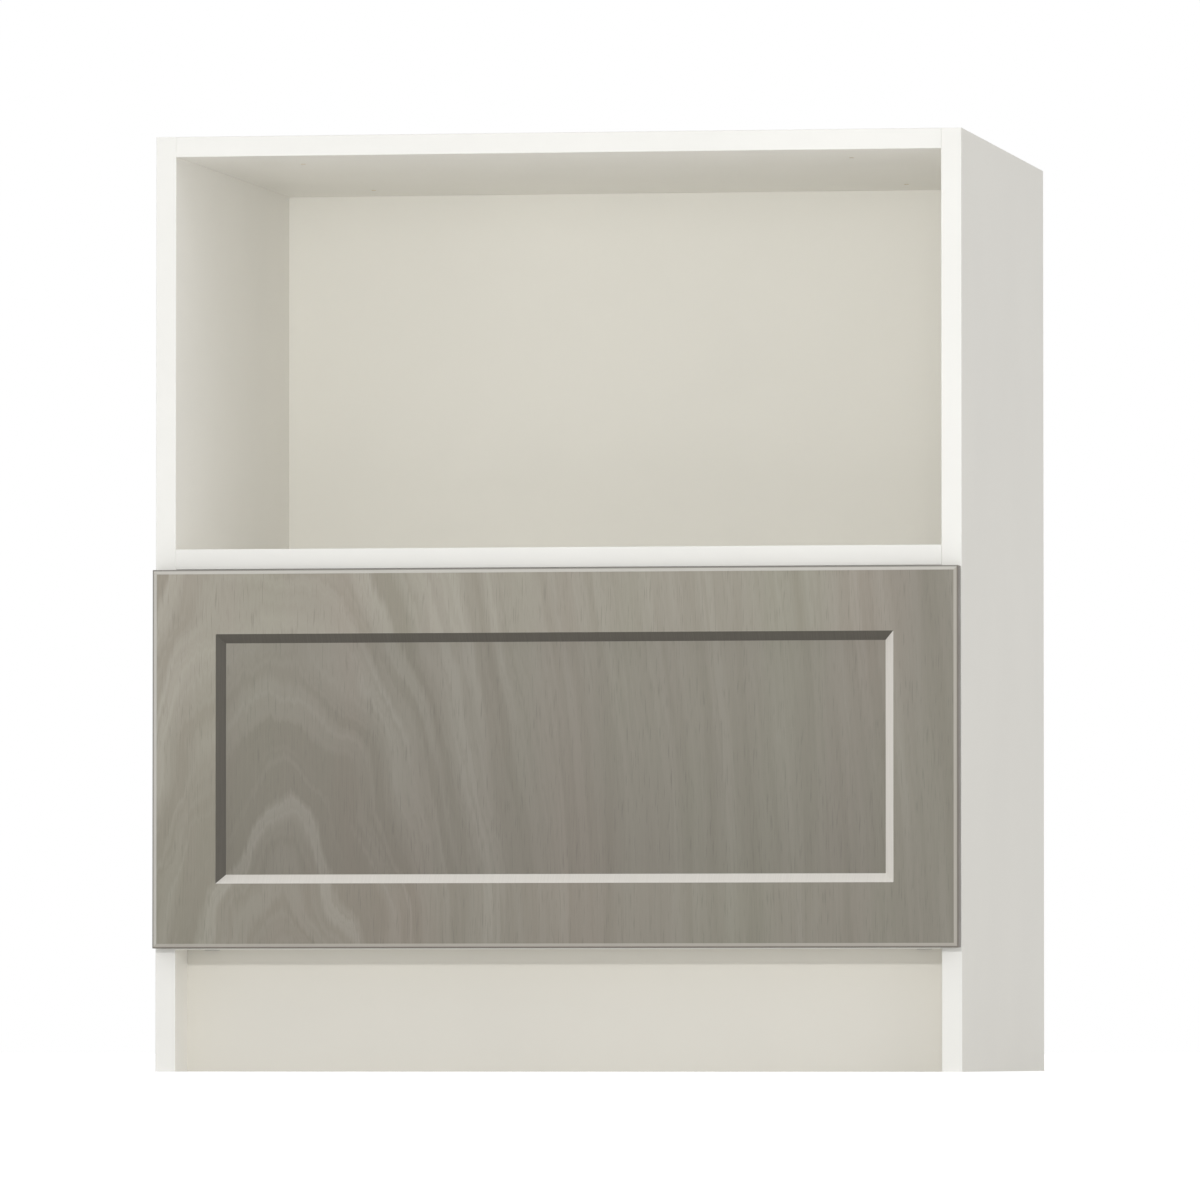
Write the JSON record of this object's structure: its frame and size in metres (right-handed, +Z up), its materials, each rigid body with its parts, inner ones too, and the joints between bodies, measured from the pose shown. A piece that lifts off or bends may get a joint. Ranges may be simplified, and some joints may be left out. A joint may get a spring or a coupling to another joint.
{
  "type": "microwave base cabinet",
  "caption": "Base cabinet with an open microwave bay above a deep drawer with a grey wood-grain routed front, ball-bearing runners and a recessed toe kick.",
  "frame": {"origin": "on the floor, below the middle of the cabinet's width and depth", "axes": "+Z up, +Y to the back, so the front faces -Y, and +X to the viewer's right"},
  "size_m": [0.762, 0.6096, 0.8763],
  "materials": {
    "faced_board": "white melamine, satin",
    "edge_band": "satin",
    "hardboard": "white face, satin",
    "grey_oak_foil": "grey oak grain, matte",
    "birch": "clear lacquer, satin",
    "birch_ply": "clear lacquer, satin",
    "beech": "raw",
    "cast_zinc": "cast",
    "plated_screw": "zinc plated",
    "zinc_steel": "zinc plated",
    "ball_steel": "polished",
    "black_plastic": "matte",
    "clear_bumper": "soft"
  },
  "bodies": {
    "carcass": {"left_side_panel": "faced_board", "right_side_panel": "faced_board", "top_panel": "faced_board", "microwave_shelf": "faced_board", "bottom_panel": "faced_board", "back_panel": "hardboard", "top_nailer": "faced_board", "middle_nailer": "faced_board", "bottom_nailer": "faced_board", "toe_kick_board": "faced_board", "left_side_edge_band": "edge_band", "right_side_edge_band": "edge_band", "top_panel_edge_band": "edge_band", "shelf_edge_band": "edge_band", "bottom_panel_edge_band": "edge_band", "cam_locks": "cast_zinc", "cam_bolts": "plated_screw", "joint_dowels": "beech", "nailer_dowels": "beech", "nailer_screws": "plated_screw", "left_cabinet_runner": "zinc_steel", "right_cabinet_runner": "zinc_steel", "cabinet_runner_screws": "plated_screw", "runner_stop_bumpers": "black_plastic"},
    "drawer": {"drawer_front": "grey_oak_foil", "drawer_box_front": "birch", "drawer_box_back": "birch", "drawer_box_left": "birch", "drawer_box_right": "birch", "drawer_box_base": "birch_ply", "front_fixing_screws": "plated_screw", "front_bumpers": "clear_bumper", "left_drawer_runner": "zinc_steel", "right_drawer_runner": "zinc_steel", "drawer_runner_screws": "plated_screw", "lever_rivets": "plated_screw"},
    "left_middle": {"left_middle_runner": "zinc_steel"},
    "left_outer_cage": {"left_outer_ball_cage": "zinc_steel", "left_outer_balls": "ball_steel"},
    "left_inner_cage": {"left_inner_ball_cage": "zinc_steel", "left_inner_balls": "ball_steel"},
    "left_lever": {"left_release_lever": "black_plastic"},
    "right_middle": {"right_middle_runner": "zinc_steel"},
    "right_outer_cage": {"right_outer_ball_cage": "zinc_steel", "right_outer_balls": "ball_steel"},
    "right_inner_cage": {"right_inner_ball_cage": "zinc_steel", "right_inner_balls": "ball_steel"},
    "right_lever": {"right_release_lever": "black_plastic"}
  },
  "joints": [
    {"name": "drawer_slide", "type": "slide", "parent": "carcass", "child": "drawer", "axis": [0, -1, 0], "range_m": [0, 0.5334]},
    {"name": "left_middle_slide", "type": "slide", "parent": "carcass", "child": "left_middle", "axis": [0, -1, 0], "range_m": [0, 0.2668]},
    {"name": "left_outer_cage_slide", "type": "slide", "parent": "carcass", "child": "left_outer_cage", "axis": [0, -1, 0], "range_m": [0, 0.1334]},
    {"name": "left_inner_cage_slide", "type": "slide", "parent": "carcass", "child": "left_inner_cage", "axis": [0, -1, 0], "range_m": [0, 0.4002]},
    {"name": "left_lever_hinge", "type": "hinge", "parent": "drawer", "child": "left_lever", "pos_m": [-0.35185, -0.02645, 0.22455], "axis": [1, 0, 0], "range_deg": [0, 8], "stiffness_Nm_per_rad": 0.02},
    {"name": "right_middle_slide", "type": "slide", "parent": "carcass", "child": "right_middle", "axis": [0, -1, 0], "range_m": [0, 0.2668]},
    {"name": "right_outer_cage_slide", "type": "slide", "parent": "carcass", "child": "right_outer_cage", "axis": [0, -1, 0], "range_m": [0, 0.1334]},
    {"name": "right_inner_cage_slide", "type": "slide", "parent": "carcass", "child": "right_inner_cage", "axis": [0, -1, 0], "range_m": [0, 0.4002]},
    {"name": "right_lever_hinge", "type": "hinge", "parent": "drawer", "child": "right_lever", "pos_m": [0.35185, -0.02645, 0.22455], "axis": [1, 0, 0], "range_deg": [-8, 0], "stiffness_Nm_per_rad": 0.02}
  ],
  "couplings": [
    {"joint": "left_middle_slide", "follows": "drawer_slide", "ratio": 0.5},
    {"joint": "left_outer_cage_slide", "follows": "drawer_slide", "ratio": 0.25},
    {"joint": "left_inner_cage_slide", "follows": "drawer_slide", "ratio": 0.75},
    {"joint": "right_middle_slide", "follows": "drawer_slide", "ratio": 0.5},
    {"joint": "right_outer_cage_slide", "follows": "drawer_slide", "ratio": 0.25},
    {"joint": "right_inner_cage_slide", "follows": "drawer_slide", "ratio": 0.75}
  ]
}
